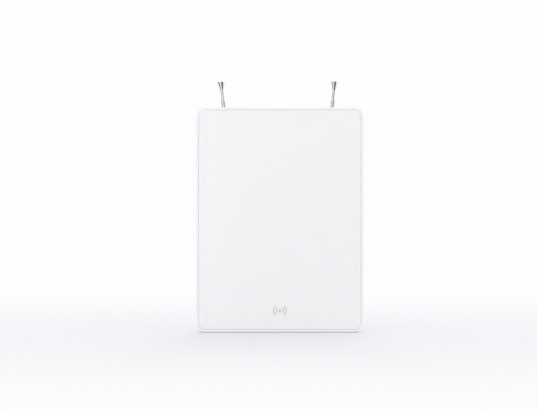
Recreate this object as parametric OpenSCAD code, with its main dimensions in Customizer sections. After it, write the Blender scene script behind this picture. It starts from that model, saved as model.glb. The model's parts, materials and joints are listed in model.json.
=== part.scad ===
// Indoor TV antenna: a flat upright panel with two telescopic rods behind it and a fold-out foot.
// Millimetres. +Z is up, -Y is the front, and the origin is on the table under the middle of the
// bounding box. Depths are counted from the front face, back along +Y.

/* [Panel] */
// Width of the casing
case_w = 164; // [160:1:190]
// Height of the casing
case_h = 220; // [210:1:250]
// Depth of the casing
case_d = 15; // [15:0.5:16]
// Radius of the casing's corners, seen from the front
corner_r = 8.5; // [7:0.5:12]
// Width of the rim round the front cover
rim_w = 2.4; // [2:0.1:2.8]
// Gap between the rim and the front cover
seam = 0.3; // [0.2:0.1:0.5]
// Thickness of the casing's walls
wall = 2; // [1.6:0.1:2.2]

/* [Rods] */
// Distance of each rod's pivot from the middle
pivot_x = 37; // [36:0.5:40]
// Height of the pivots above the table
pivot_z = 60; // [59:0.5:62]
// Lean of the left rod, outward from upright
left_lean = 6.4; // [0:0.1:12]
// Lean of the right rod, outward from upright
right_lean = 5.4; // [0:0.1:12]
// Length of a pushed-in rod, from its pivot to the top of its tip
rod_len = 188.3; // [186:0.1:196]
// Outer diameter of the tip tube
tip_tube_d = 3; // [2.9:0.1:3.2]
// Difference in diameter between one tube and the next
tube_step = 1.1; // [1.1:0.05:1.2]
// Diameter of the cone at the tip
cone_d = 7.1; // [6:0.1:8]

/* [Foot] */
// Length of the fold-out foot, from its hinge to its free end
foot_len = 56; // [50:1:60]
// Width of the foot at its hinge
foot_w = 55.4; // [50:0.2:55.4]

/* [Hidden] */
$fn = 64;
eps = 0.01;

// Colours
white_gloss = [0.95, 0.955, 0.965];
white_satin = [0.9, 0.905, 0.915];
chrome = [0.78, 0.79, 0.8];
zinc = [0.66, 0.67, 0.69];
steel = [0.6, 0.61, 0.63];
brass = [0.8, 0.66, 0.36];
copper = [0.75, 0.45, 0.25];
rubber = [0.55, 0.56, 0.57];
board_green = [0.1, 0.36, 0.2];
ferrite_grey = [0.18, 0.18, 0.19];
ceramic = [0.75, 0.5, 0.2];

// Panel
pad_h = 0.4;
case_mid_z = pad_h + case_h / 2;
rim_round = 1.6;
back_round = 4;
inner_wall_y = case_d - wall;
cover_t = 2.2;
cover_inset = rim_w + seam;
lip_inset = cover_inset + 2.4;
lip_t = 1.2;
lip_depth = 2;
rib_w = 1.2;
rib_reach = 1.5;
rib_pitch = 20;
post_r = 3.2;
boss_r = 4.2;
boss_y = 8;
board_boss_r = 2.8;
board_screw_r = 1;
stake_boss_r = 2.6;
stake_r = 1.4;
stake_tip = 1.5;
self_tap_r = 1.25;
clear_r = 1.6;
head_r = 2.7;
sunk_r = 2.9;
sunk_h = 1.4;
counterbore_r = 3.1;
counterbore_depth = 3;
screw_x = case_w / 2 - 11;
case_screw_points = [
    for (side = [-1, 1]) each [
        [side * screw_x, case_h - 14],
        [side * screw_x, case_h / 2],
        [side * 49, 12]]];

// Rear housing
housing_w = 138;
housing_d = 10.5;
housing_bottom = 1.6;
housing_top = 55.6;
housing_h = housing_top - housing_bottom;
housing_back = case_d + housing_d;
housing_inner = housing_back - wall;
housing_screw_points = [[-62, 14], [62, 14]];

// Foot and its hinge
hinge_y = 20;
hinge_z = 5.2;
pin_r = 1.5;
running_gap = 0.05;
barrel_r = 3.4;
recess_half = 28.3;
recess_wall = 2.7;
recess_floor = 18.9;
stop_height = 3.6;
stop_gap = 0.04;
foot_z = 1;
foot_t = 4.4;
foot_tip_w = 45;
foot_pad_r = 4.5;
foot_end = hinge_y + foot_len;
foot_pad_points = [[-15, foot_end - 7.5], [15, foot_end - 7.5]];

// The whole depth sets the origin
total_d = foot_end;
front_y = -total_d / 2;

// Rods: distances along a rod are counted from its pivot
rod_y = 19.5;
tube_wall = 0.35;
slide_gap = 0.03;
tip_r = tip_tube_d / 2;
upper_r = tip_r + tube_step / 2;
middle_r = upper_r + tube_step / 2;
base_r = middle_r + tube_step / 2;
eye_t = 3.8;
eye_r = 3.6;
collar_r = base_r + 0.45;
collar_from = 6.5;
base_from = 9;
spigot_to = 22;
base_to = 150;
middle_to = 158;
upper_to = rod_len - 18.3;
cone_from = rod_len - 9.9;
bush_len = 6;
bush_spigot = 4;
middle_bush_from = 24;
upper_bush_from = 34.5;
tip_bush_from = 45;
neck_len = 1.2;

// Forks
fork_w = 9;
cheek_t = 1.6;
front_cheek_y = 15.6;
rear_cheek_y = 21.8;
fork_back = rear_cheek_y + cheek_t;
fork_base_z = 42;
fork_base_top = 52;
fork_screw_z = 47;
stop_wall_top = 69;
stop_wall_t = 0.85;
washer_t = 0.4;
nut_t = 2.4;
screw_r = 1.5;

// Matching board and what is on it
board_x = [-46, 70];
board_z = [19.5, 42];
board_y = 9.5;
board_t = 1.2;
board_back = board_y + board_t;
board_screw_points = [[-42, 24], [12, 24], [66, 24]];
strap_t = 0.5;
strap_w = 6;

// Coaxial socket
socket_x = 55;
socket_z = 33;
socket_thread_r = 4.76;
socket_len = 13;
socket_mouth = housing_back + socket_len;
socket_bore_r = 3.5;
contact_r = 1.2;
nut_r = 6.35;
nut_seat = housing_back + 0.6;
nut_back = nut_seat + 2.5;
thread_from = nut_back + 0.8;
thread_relief_r = 4.3;

// Puts depths that are counted from the front face into the part's own frame
module from_front() translate([0, front_y, 0]) children();

// Upright flat shape, extruded back from depth y0 to depth y1
module slab(y0, y1) translate([0, y1, 0]) rotate([90, 0, 0]) linear_extrude(y1 - y0) children();

// Round bar along the depth, at x and z
module bar(x, z, r, y0, y1, fn = 64)
    translate([x, y0, z]) rotate([-90, 0, 0]) cylinder(r = r, h = y1 - y0, $fn = fn);

module rounded_rect(w, h, r) {
    square([w - 2 * r, h], center = true);
    square([w, h - 2 * r], center = true);
    for (side = [-1, 1], end = [-1, 1])
        translate([side * (w / 2 - r), end * (h / 2 - r)]) circle(r);
}

// Disc of thickness d standing on the depth axis, its front and back edges rounded
module puck(r, d, front_round, back_round, steps = 6)
    rotate([-90, 0, 0]) rotate_extrude($fn = 48) polygon([
        [0, 0],
        for (i = [0:steps]) let (a = 90 * i / steps)
            [r - front_round + front_round * sin(a), front_round - front_round * cos(a)],
        for (i = [0:steps]) let (a = 90 * i / steps)
            [r - back_round + back_round * cos(a), d - back_round + back_round * sin(a)],
        [0, d]]);

module rounded_slab(w, h, d, r, front_round, back_round)
    hull() for (side = [-1, 1], end = [-1, 1])
        translate([side * (w / 2 - r), 0, end * (h / 2 - r)]) puck(r, d, front_round, back_round);

module front_cover() color(white_gloss) from_front() translate([0, 0, case_mid_z]) {
    difference() {
        union() {
            rounded_slab(case_w - 2 * cover_inset, case_h - 2 * cover_inset, cover_t,
                corner_r - cover_inset, 0.4, 0.2);
            slab(cover_t - 0.5, cover_t + lip_depth) difference() {
                rounded_rect(case_w - 2 * lip_inset, case_h - 2 * lip_inset, 3.2);
                rounded_rect(case_w - 2 * (lip_inset + lip_t), case_h - 2 * (lip_inset + lip_t), 2);
            }
            for (p = case_screw_points)
                bar(p.x, p.y + pad_h - case_mid_z, post_r, cover_t - 0.5, boss_y);
        }
        for (p = case_screw_points)
            bar(p.x, p.y + pad_h - case_mid_z, self_tap_r, cover_t + 1, boss_y + 1);
    }
}

// Short ribs on the casing's walls carry the cover
module cover_ribs() {
    reach = rib_reach + 1;
    for (side = [-1, 1]) {
        for (x = [-3 * rib_pitch:rib_pitch:3 * rib_pitch])
            translate([x - rib_w / 2, cover_t, side * (case_h / 2 - rim_w) - (side > 0 ? rib_reach : 1)])
                cube([rib_w, inner_wall_y - cover_t + 0.5, reach]);
        for (z = [-4 * rib_pitch:rib_pitch:4 * rib_pitch])
            translate([side * (case_w / 2 - rim_w) - (side > 0 ? rib_reach : 1), cover_t, z - rib_w / 2])
                cube([reach, inner_wall_y - cover_t + 0.5, rib_w]);
    }
}

module rear_casing() color(white_gloss) from_front() difference() {
    union() {
        translate([0, 0, case_mid_z]) {
            difference() {
                rounded_slab(case_w, case_h, case_d, corner_r, rim_round, back_round);
                slab(-1, inner_wall_y)
                    rounded_rect(case_w - 2 * rim_w, case_h - 2 * rim_w, corner_r - rim_w);
            }
            cover_ribs();
        }
        for (p = case_screw_points) bar(p.x, p.y + pad_h, boss_r, boss_y, inner_wall_y + 0.5);
        for (p = housing_screw_points) bar(p.x, p.y, boss_r, boss_y, inner_wall_y + 0.5);
        for (p = board_screw_points) bar(p.x, p.y, board_boss_r, board_back, inner_wall_y + 0.5);
        for (side = [-1, 1], p = radiator_stakes) {
            bar(side * p.x, p.y, stake_boss_r, radiator_y + strap_t, inner_wall_y + 0.5);
            bar(side * p.x, p.y, stake_r, radiator_y - stake_tip, inner_wall_y);
        }
    }
    for (p = case_screw_points) {
        bar(p.x, p.y + pad_h, clear_r, boss_y - 1, case_d + 1);
        bar(p.x, p.y + pad_h, counterbore_r, case_d - counterbore_depth, case_d + 1);
    }
    for (p = housing_screw_points) bar(p.x, p.y, self_tap_r, boss_y - 1, case_d + 1);
    for (p = board_screw_points) bar(p.x, p.y, board_screw_r, board_back - 1, inner_wall_y + 0.5);
    for (side = [-1, 1]) bar(side * pivot_x, fork_screw_z, clear_r, inner_wall_y - 1, case_d + 1);
    bar(socket_x, socket_z, socket_thread_r - 0.3, inner_wall_y - 1, case_d + 1);
}

// Pan head with a cross recess: the seat is at depth y, the shank runs forward to depth tip
module pan_screw(x, z, y, tip, shank_r, head = head_r, head_h = 1.8) {
    difference() {
        bar(x, z, head, y, y + head_h);
        for (turn = [0, 90]) translate([x, y + head_h, z]) rotate([0, turn, 0])
            cube([head * 1.2, 1.6, 0.7], center = true);
    }
    bar(x, z, shank_r, tip, y + 0.4);
}

// Countersunk head, flush with depth y
module sunk_screw(x, z, y, tip, shank_r) difference() {
    union() {
        translate([x, y, z]) rotate([90, 0, 0]) cylinder(r1 = sunk_r, r2 = shank_r, h = sunk_h);
        bar(x, z, shank_r, tip, y - 1);
    }
    for (turn = [0, 90]) translate([x, y, z]) rotate([0, turn, 0])
        cube([3.2, 1.4, 0.7], center = true);
}

// Countersunk hole through a wall whose back is at depth y
module sunk_hole(x, z, y, r) {
    slope = (sunk_r - r) / sunk_h;
    translate([x, y + 1, z]) rotate([90, 0, 0]) cylinder(r1 = sunk_r + slope, r2 = r, h = sunk_h + 1);
    bar(x, z, r, case_d - 1, y);
}

module case_screws() color(steel) from_front() for (p = case_screw_points)
    pan_screw(p.x, p.y + pad_h, case_d - counterbore_depth, cover_t + 2, self_tap_r);

module housing_screws() color(steel) from_front() for (p = housing_screw_points)
    sunk_screw(p.x, p.y, housing_back, boss_y + 1, self_tap_r);

module fork_screws() color(steel) from_front() for (side = [-1, 1])
    sunk_screw(side * pivot_x, fork_screw_z, housing_back, inner_wall_y - strap_t - nut_t - 0.6, screw_r);

module fork_nuts() color(brass) from_front() for (side = [-1, 1]) difference() {
    bar(side * pivot_x, fork_screw_z, 3.1, inner_wall_y - strap_t - nut_t, inner_wall_y - strap_t, 6);
    bar(side * pivot_x, fork_screw_z, screw_r, 1, inner_wall_y);
}

// Four rubber strips: two under the casing, two under the housing
module bottom_pads() color(rubber) from_front() for (side = [-1, 1]) {
    translate([side * 52, 7, 0]) linear_extrude(pad_h) rounded_rect(34, 7, 2);
    translate([side * 50, 20, 0]) linear_extrude(housing_bottom) rounded_rect(30, 5, 2);
}

// Radiators: stamped bow-tie blades, each with a tail down to the board
radiator_y = board_y - strap_t;
radiator_mid = 130;
blade_end = 64;
blade_half = 52;
blade_rim = 9;
tail_w = 5;
radiator_stakes = [[59.5, radiator_mid - 38], [59.5, radiator_mid + 38], [15, radiator_mid]];

module radiator(side) color(steel) from_front() difference() {
    slab(radiator_y, radiator_y + strap_t) scale([side, 1]) union() {
        difference() {
            polygon([[4, radiator_mid - 6], [blade_end, radiator_mid - blade_half],
                [blade_end, radiator_mid + blade_half], [4, radiator_mid + 6]]);
            polygon([[22, radiator_mid], [blade_end - blade_rim, radiator_mid - blade_half + 17],
                [blade_end - blade_rim, radiator_mid + blade_half - 17]]);
        }
        translate([4, board_z[1] - 4]) square([tail_w, radiator_mid - board_z[1] + 4]);
    }
    for (p = radiator_stakes) bar(side * p.x, p.y, stake_r + running_gap, radiator_y - 1, radiator_y + 1);
}

module matching_board() color(board_green) from_front() difference() {
    slab(board_y, board_back) translate([board_x[0], board_z[0]])
        square([board_x[1] - board_x[0], board_z[1] - board_z[0]]);
    for (p = board_screw_points) bar(p.x, p.y, 1.2, board_y - 1, board_back + 1);
    bar(socket_x, socket_z, 0.7, board_y - 1, board_back + 1);
}

module board_screws() color(steel) from_front() for (p = board_screw_points) {
    bar(p.x, p.y, 2 * board_screw_r, board_y - 1.2, board_y);
    bar(p.x, p.y, board_screw_r, board_y - 1, inner_wall_y + 0.3);
}

// Two-hole ferrite block with its bores upright
core_x = 28;
core_size = [13, 6.4, 8];
core_bore_r = 1.7;
core_bore_x = 3.1;
core_z = 27;

module ferrite_core() color(ferrite_grey) from_front() difference() {
    translate([core_x - core_size.x / 2, board_y - core_size.y, core_z]) cube(core_size);
    for (side = [-1, 1]) translate([core_x + side * core_bore_x, board_y - core_size.y / 2, core_z - 1])
        cylinder(r = core_bore_r, h = core_size.z + 2);
}

// Two hairpin turns of wire through the core's bores
module balun_winding() color(copper) from_front() for (turn = [-1, 1])
    translate([core_x, board_y - core_size.y / 2 + turn * 0.8, core_z]) {
        for (side = [-1, 1]) translate([side * core_bore_x, 0, -2])
            cylinder(r = 0.4, h = core_size.z + 2.5);
        translate([0, 0, core_size.z + 0.5]) rotate([90, 0, 0])
            rotate_extrude(angle = 180) translate([core_bore_x, 0]) circle(0.4, $fn = 24);
    }

// Ceramic disc capacitors, each on two short leads
module board_capacitors() color(ceramic) from_front() for (x = [-30, -18, 0, 42])
    translate([x, board_y, 31]) {
        translate([0, -3.4, 0]) rotate([0, 90, 0]) cylinder(r = 2.4, h = 1.6, center = true);
        for (z = [-1.4, 1.4]) translate([0, 0, z]) rotate([90, 0, 0]) cylinder(r = 0.3, h = 2.4, $fn = 24);
    }

// Sprung strap: under the nut at the fork's screw, stepped forward to lie on the board's back
module contact_strap(side) color(brass) from_front() difference() {
    translate([side * pivot_x - strap_w / 2, 0, 0]) rotate([90, 0, 90]) linear_extrude(strap_w) polygon([
        [inner_wall_y, fork_screw_z + 4], [inner_wall_y - strap_t, fork_screw_z + 4],
        [inner_wall_y - strap_t, 38], [board_back, 38], [board_back, 32],
        [board_back + strap_t, 32], [board_back + strap_t, 38 - strap_t], [inner_wall_y, 38 - strap_t]]);
    bar(side * pivot_x, fork_screw_z, clear_r, 1, case_d);
}

// Inside outline of the housing: all but its walls, its screw bosses and the walls of the foot's recess
module housing_hollow() difference() {
    rounded_rect(housing_w - 2 * wall, housing_h - 2 * wall, 5);
    square([2 * (recess_half + recess_wall), housing_h + 2], center = true);
    for (p = housing_screw_points) translate([p.x, p.y - housing_bottom - housing_h / 2]) circle(boss_r);
}

module rear_housing() color(white_satin) from_front() difference() {
    translate([0, 0, housing_bottom + housing_h / 2]) difference() {
        translate([0, case_d, 0])
            rounded_slab(housing_w, housing_h, housing_d, 8, 0.4, 3);
        slab(case_d - 1, housing_inner) housing_hollow();
    }
    foot_recess();
    for (side = [-1, 1]) {
        translate([side * pivot_x - fork_w / 2 - 0.2, case_d - 1, fork_base_z - 0.2])
            cube([fork_w + 0.4, housing_inner - case_d + 1, housing_top]);
        sunk_hole(side * pivot_x, fork_screw_z, housing_back, clear_r);
    }
    for (p = housing_screw_points) sunk_hole(p.x, p.y, housing_back, clear_r);
    bar(socket_x, socket_z, socket_thread_r + 0.1, case_d, housing_back + 1);
    translate([-recess_half - recess_wall - 2, hinge_y, hinge_z]) rotate([0, 90, 0])
        cylinder(r = pin_r, h = 2 * (recess_half + recess_wall + 2));
}

// Room for the folded foot, for its barrel, and for the lightening pocket under the recess's floor
module foot_recess() {
    translate([-recess_half, recess_floor, 0]) cube([2 * recess_half, housing_d, housing_top + 1]);
    translate([-recess_half, case_d - 1, 0])
        cube([2 * recess_half, housing_d + 2, hinge_z + stop_height + stop_gap]);
    translate([-recess_half, case_d - 1, 12])
        cube([2 * recess_half, recess_floor - 1.8 - case_d + 1, housing_top - 15]);
}

// Threaded barrel with a flange inside the housing, a stem to the board and a groove past its nut
module coax_socket() color(zinc) from_front() difference() {
    union() {
        bar(socket_x, socket_z, 4, board_back, housing_inner);
        bar(socket_x, socket_z, 7, housing_inner - 1.6, housing_inner);
        bar(socket_x, socket_z, socket_thread_r, housing_inner - 0.5, nut_back);
        bar(socket_x, socket_z, thread_relief_r, nut_back - 0.5, thread_from + 0.5);
        bar(socket_x, socket_z, socket_thread_r, thread_from, socket_mouth - 0.6);
        translate([socket_x, socket_mouth - 0.6, socket_z]) rotate([-90, 0, 0])
            cylinder(r1 = socket_thread_r, r2 = socket_thread_r - 0.6, h = 0.6);
    }
    bar(socket_x, socket_z, socket_bore_r, board_back - 1, socket_mouth + 1);
}

module socket_insulator() color("white") from_front() difference() {
    bar(socket_x, socket_z, socket_bore_r, board_back, socket_mouth - 0.8);
    bar(socket_x, socket_z, contact_r, board_back - 1, socket_mouth - 2);
    bar(socket_x, socket_z, 0.75, board_back - 1, socket_mouth);
}

module socket_contact() color(brass) from_front() difference() {
    union() {
        bar(socket_x, socket_z, contact_r, board_back, socket_mouth - 2);
        bar(socket_x, socket_z, 0.7, board_y - 1, board_back + 1);
    }
    bar(socket_x, socket_z, 0.6, socket_mouth - 14, socket_mouth);
}

// Thin washer with teeth round its edge
module socket_washer() color(zinc) from_front() slab(housing_back, nut_seat)
    translate([socket_x, socket_z]) difference() {
        union() {
            circle(6.4);
            for (turn = [0:30:330]) rotate(turn) translate([6.2, 0]) square([1.6, 1.4], center = true);
        }
        circle(socket_thread_r + 0.05);
    }

module socket_nut() color(zinc) from_front() difference() {
    intersection() {
        bar(socket_x, socket_z, nut_r, nut_seat, nut_back, 6);
        translate([socket_x, nut_seat, socket_z]) rotate([-90, 0, 0])
            cylinder(r1 = nut_r + 1.2, r2 = nut_r - 0.3, h = nut_back - nut_seat);
    }
    bar(socket_x, socket_z, socket_thread_r, housing_back, housing_back + 4);
}

module foot_pin() color(steel) from_front()
    translate([-recess_half - recess_wall - 1.5, hinge_y, hinge_z]) rotate([0, 90, 0])
        cylinder(r = pin_r, h = 2 * (recess_half + recess_wall + 1.5));

// Plate of the foot: wide at the hinge, narrower at the free end, edges rounded
module foot_plate() {
    corner = 5;
    hull() for (side = [-1, 1]) {
        for (p = [[foot_w / 2 - corner, hinge_y + 3.2 + corner], [foot_tip_w / 2 - corner, foot_end - corner]])
            translate([side * p.x, p.y, foot_z]) rotate([90, 0, 0]) puck(corner, foot_t, 1.2, 0.6);
    }
}

// Pockets that lighten the foot from below, between a middle rib and two cross ribs
module foot_pockets() difference() {
    polygon([[-foot_w / 2 + 4, hinge_y + 8], [foot_w / 2 - 4, hinge_y + 8],
        [foot_tip_w / 2 - 3.4, foot_end - 14.5], [-foot_tip_w / 2 + 3.4, foot_end - 14.5]]);
    translate([-0.8, hinge_y]) square([1.6, foot_len]);
    for (step = [1, 2]) translate([-foot_w / 2, hinge_y + 8 + step * 11]) square([foot_w, 1.4]);
}

module folding_foot() color(white_satin) from_front() difference() {
    union() {
        foot_plate();
        translate([-foot_w / 2, hinge_y, hinge_z]) rotate([0, 90, 0]) cylinder(r = barrel_r, h = foot_w);
        translate([-foot_w / 2, hinge_y, foot_z + 1]) cube([foot_w, 9, foot_t - 1]);
        translate([-foot_w / 2 + 4, hinge_y - 2.9, hinge_z]) cube([foot_w - 8, 1.7, stop_height]);
    }
    translate([-foot_w, hinge_y, hinge_z]) rotate([0, 90, 0])
        cylinder(r = pin_r + running_gap, h = 2 * foot_w);
    translate([0, 0, foot_z - 1]) linear_extrude(3.4) foot_pockets();
    for (p = foot_pad_points) translate([p.x, p.y, 0]) cylinder(r = foot_pad_r + 0.1, h = foot_z + 0.6);
    translate([0, foot_end + 7, 0]) cylinder(r = 10, h = 10);
}

module foot_pads() color(rubber) from_front() for (p = foot_pad_points)
    translate([p.x, p.y, 0]) cylinder(r = foot_pad_r, h = foot_z + 0.6);

// Cheek of a fork: a strip with a round top about the pivot
module cheek_outline() {
    translate([0, pivot_z]) circle(fork_w / 2);
    translate([-fork_w / 2, fork_base_z]) square([fork_w, pivot_z - fork_base_z]);
}

// Die-cast fork: block, two cheeks, and on the inner side a wall that stops the rod upright
module fork(side) color(zinc) from_front() translate([side * pivot_x, 0, 0]) difference() {
    union() {
        slab(front_cheek_y, front_cheek_y + cheek_t) cheek_outline();
        slab(rear_cheek_y, fork_back) cheek_outline();
        translate([-fork_w / 2, case_d, fork_base_z]) cube([fork_w, fork_back - case_d, fork_base_top - fork_base_z]);
        translate([side > 0 ? -fork_w / 2 : fork_w / 2 - stop_wall_t, front_cheek_y, fork_base_z])
            cube([stop_wall_t, fork_back - front_cheek_y, stop_wall_top - fork_base_z]);
    }
    bar(0, fork_screw_z, clear_r, case_d - 1, fork_back + 1);
    bar(0, pivot_z, screw_r, 1, rear_cheek_y);
    bar(0, pivot_z, screw_r + running_gap, rear_cheek_y - 1, fork_back + 1);
}

module pivot_screw(side) color(steel) from_front() difference() {
    union() {
        bar(side * pivot_x, pivot_z, screw_r, front_cheek_y, fork_back + 0.5);
        translate([side * pivot_x, fork_back, pivot_z]) rotate([-90, 0, 0])
            cylinder(r1 = 3, r2 = 2.2, h = 1.7);
    }
    translate([side * pivot_x, fork_back + 1.7, pivot_z]) cube([7, 1.6, 0.9], center = true);
}

module washers(side) color(brass) from_front()
    for (y = [front_cheek_y + cheek_t, rear_cheek_y - washer_t]) difference() {
        bar(side * pivot_x, pivot_z, 3.6, y, y + washer_t);
        bar(side * pivot_x, pivot_z, screw_r + running_gap, y - 1, y + 1);
    }

// Stands a rod on its pivot, leaning outward; +Z of the children runs along the rod
module on_rod(side) from_front() translate([side * pivot_x, rod_y, pivot_z])
    rotate([0, side * (side < 0 ? left_lean : right_lean), 0]) children();

// Tube from s0 to s1 along the rod, its top end rolled in to run on the tube of radius neck_for
module tube(r, s0, s1, neck_for) {
    roll = 0.4;
    rotate_extrude() polygon([
        [r - tube_wall, s0], [r, s0],
        for (a = [0:30:90]) [r - roll + roll * cos(a), s1 - roll + roll * sin(a)],
        [neck_for + slide_gap, s1], [neck_for + slide_gap, s1 - neck_len],
        [r - tube_wall, s1 - neck_len - 0.1]]);
}

// Turned plug at the lower end of the tube of radius r, running in the bore of the tube outside it
module end_bush(r, from) {
    bore_r = r + tube_step / 2 - tube_wall;
    translate([0, 0, from]) {
        cylinder(r = bore_r - slide_gap, h = bush_len);
        cylinder(r = r - tube_wall - eps, h = bush_len + bush_spigot);
    }
}

module rod_foot(side) color(zinc) on_rod(side) difference() {
    union() {
        rotate([90, 0, 0]) cylinder(r = eye_r, h = eye_t, center = true);
        translate([-3, -eye_t / 2, 0]) cube([6, eye_t, collar_from + 0.5]);
        translate([0, 0, collar_from]) cylinder(r = collar_r, h = base_from - collar_from);
        translate([0, 0, collar_from]) cylinder(r = base_r - tube_wall, h = spigot_to - collar_from);
    }
    rotate([90, 0, 0]) cylinder(r = screw_r + running_gap, h = 3 * eye_t, center = true);
}

module base_tube(side) color(chrome) on_rod(side) tube(base_r, base_from, base_to, middle_r);

module middle_tube(side) color(chrome) on_rod(side)
    tube(middle_r, middle_bush_from + bush_len, middle_to, upper_r);

module middle_bush(side) color(brass) on_rod(side) end_bush(middle_r, middle_bush_from);

module upper_tube(side) color(chrome) on_rod(side)
    tube(upper_r, upper_bush_from + bush_len, upper_to, tip_r);

module upper_bush(side) color(brass) on_rod(side) end_bush(upper_r, upper_bush_from);

module tip_tube(side) color(chrome) on_rod(side)
    translate([0, 0, tip_bush_from + bush_len]) difference() {
        cylinder(r = tip_r, h = cone_from - tip_bush_from - bush_len);
        translate([0, 0, -1]) cylinder(r = tip_r - tube_wall, h = cone_from);
    }

module tip_bush(side) color(brass) on_rod(side) end_bush(tip_r, tip_bush_from);

// Turned tip: a cone that flares like a trumpet to a rounded crown
module tip_cone(side) color(chrome) on_rod(side) {
    edge = 0.7;
    flare = cone_d / 2 - tip_r;
    height = rod_len - cone_from - edge;
    rotate_extrude() polygon([
        [0, cone_from - 5], [tip_r - tube_wall, cone_from - 5], [tip_r - tube_wall, cone_from],
        for (i = [0:8]) let (t = i / 8) [tip_r + flare * pow(t, 1.35), cone_from + height * t],
        for (a = [15:15:90]) [cone_d / 2 - edge + edge * cos(a), rod_len - edge + edge * sin(a)],
        [0, rod_len]]);
}

front_cover();
rear_casing();
case_screws();
bottom_pads();
radiator(-1);  // left_radiator
radiator(1);  // right_radiator
matching_board();
board_screws();
ferrite_core();
balun_winding();
board_capacitors();
contact_strap(-1);  // left_contact_strap
contact_strap(1);  // right_contact_strap
fork_nuts();
rear_housing();
housing_screws();
fork_screws();
coax_socket();
socket_insulator();
socket_contact();
socket_washer();
socket_nut();
foot_pin();
folding_foot();
foot_pads();
fork(-1);  // left_fork
pivot_screw(-1);  // left_pivot_screw
washers(-1);  // left_washers
rod_foot(-1);  // left_rod_foot
base_tube(-1);  // left_base_tube
middle_tube(-1);  // left_middle_tube
middle_bush(-1);  // left_middle_bush
upper_tube(-1);  // left_upper_tube
upper_bush(-1);  // left_upper_bush
tip_tube(-1);  // left_tip_tube
tip_bush(-1);  // left_tip_bush
tip_cone(-1);  // left_tip_cone
fork(1);  // right_fork
pivot_screw(1);  // right_pivot_screw
washers(1);  // right_washers
rod_foot(1);  // right_rod_foot
base_tube(1);  // right_base_tube
middle_tube(1);  // right_middle_tube
middle_bush(1);  // right_middle_bush
upper_tube(1);  // right_upper_tube
upper_bush(1);  // right_upper_bush
tip_tube(1);  // right_tip_tube
tip_bush(1);  // right_tip_bush
tip_cone(1);  // right_tip_cone
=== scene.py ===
import json
import math

import bmesh
import bpy
from mathutils import Matrix, Vector


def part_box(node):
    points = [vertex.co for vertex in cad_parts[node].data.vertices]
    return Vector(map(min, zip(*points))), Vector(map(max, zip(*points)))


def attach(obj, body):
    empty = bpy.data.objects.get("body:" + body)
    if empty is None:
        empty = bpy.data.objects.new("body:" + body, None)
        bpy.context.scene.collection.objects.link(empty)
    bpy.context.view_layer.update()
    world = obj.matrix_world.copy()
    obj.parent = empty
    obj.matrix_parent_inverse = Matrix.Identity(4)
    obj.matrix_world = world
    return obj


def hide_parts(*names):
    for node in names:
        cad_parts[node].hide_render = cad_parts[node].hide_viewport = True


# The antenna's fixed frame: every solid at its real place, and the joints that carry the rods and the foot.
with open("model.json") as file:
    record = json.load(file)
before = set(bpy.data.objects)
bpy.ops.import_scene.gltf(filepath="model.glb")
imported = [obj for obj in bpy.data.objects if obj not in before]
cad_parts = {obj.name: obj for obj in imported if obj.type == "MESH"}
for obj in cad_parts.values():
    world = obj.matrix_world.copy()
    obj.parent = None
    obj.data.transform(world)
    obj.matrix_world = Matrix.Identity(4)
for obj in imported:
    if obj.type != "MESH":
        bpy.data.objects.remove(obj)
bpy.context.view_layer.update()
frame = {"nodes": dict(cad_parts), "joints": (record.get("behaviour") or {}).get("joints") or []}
joints = {joint["name"]: joint for joint in frame["joints"]}

# The camera stands straight in front, a little above the panel's half height and to the left of its
# middle, as the panel's edges in the photograph stay parallel and show no side.
case_low, case_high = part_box("rear_casing")
FRAME_WIDTH_PX = 537
PANEL_WIDTH_PX = 167.5
PANEL_MID_FROM_AXIS_PX = 11.3
PANEL_FOOT_FROM_AXIS_PX = 127.0
CAMERA_DISTANCE = 1.6
metres_per_px = (case_high.x - case_low.x) / PANEL_WIDTH_PX
camera_data = bpy.data.cameras.new("camera")
camera_data.sensor_width = 36
camera_data.lens = camera_data.sensor_width * CAMERA_DISTANCE / (FRAME_WIDTH_PX * metres_per_px)


def in_scene(name, data):
    """A new object in the scene: a piece, a cutter, a lamp or the camera."""
    thing = bpy.data.objects.new(name, data)
    bpy.context.scene.collection.objects.link(thing)
    return thing


camera = in_scene("camera", camera_data)
camera.location = (
    -PANEL_MID_FROM_AXIS_PX * metres_per_px,
    case_low.y - CAMERA_DISTANCE,
    case_low.z + PANEL_FOOT_FROM_AXIS_PX * metres_per_px)
camera.rotation_euler = (math.radians(90), 0, 0)
bpy.context.scene.camera = camera

# The table is one wide matt white sheet. Near the antenna it takes the soft shadow under the panel,
# and it turns little by little into the white of the backdrop.
TABLE_HALF = 6.0
TABLE_WHITE = (0.915, 0.922, 0.943, 1)
BACKDROP_WHITE = (0.985, 0.985, 0.998, 1)
SHADOW_FADES_FROM = 0.05
SHADOW_FADES_TO = 0.8
table_mesh = bpy.data.meshes.new("table")
table_mesh.from_pydata(
    [(-TABLE_HALF, -TABLE_HALF, 0), (TABLE_HALF, -TABLE_HALF, 0), (TABLE_HALF, TABLE_HALF, 0),
     (-TABLE_HALF, TABLE_HALF, 0)], [], [(0, 1, 2, 3)])
table = in_scene("table", table_mesh)


def tree_step(tree, kind, *values, **settings):
    """Adds one node to a tree: settings are its properties, and values go to its inputs in order."""
    node = tree.nodes.new(kind)
    for key, value in settings.items():
        setattr(node, key, value)
    for socket, value in zip([socket for socket in node.inputs if socket.enabled], values):
        if value is None:
            continue
        if isinstance(value, bpy.types.NodeSocket):
            tree.links.new(value, socket)
        else:
            socket.default_value = value
    return node


def tree_sum(tree, operation, *values):
    return tree_step(tree, "ShaderNodeMath", *values, operation=operation).outputs["Value"]


def new_finish(name):
    """A new material, its node tree and the shader of its surface."""
    material = bpy.data.materials.new(name)
    material.use_nodes = True
    return material, material.node_tree, material.node_tree.nodes["Principled BSDF"]


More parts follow.
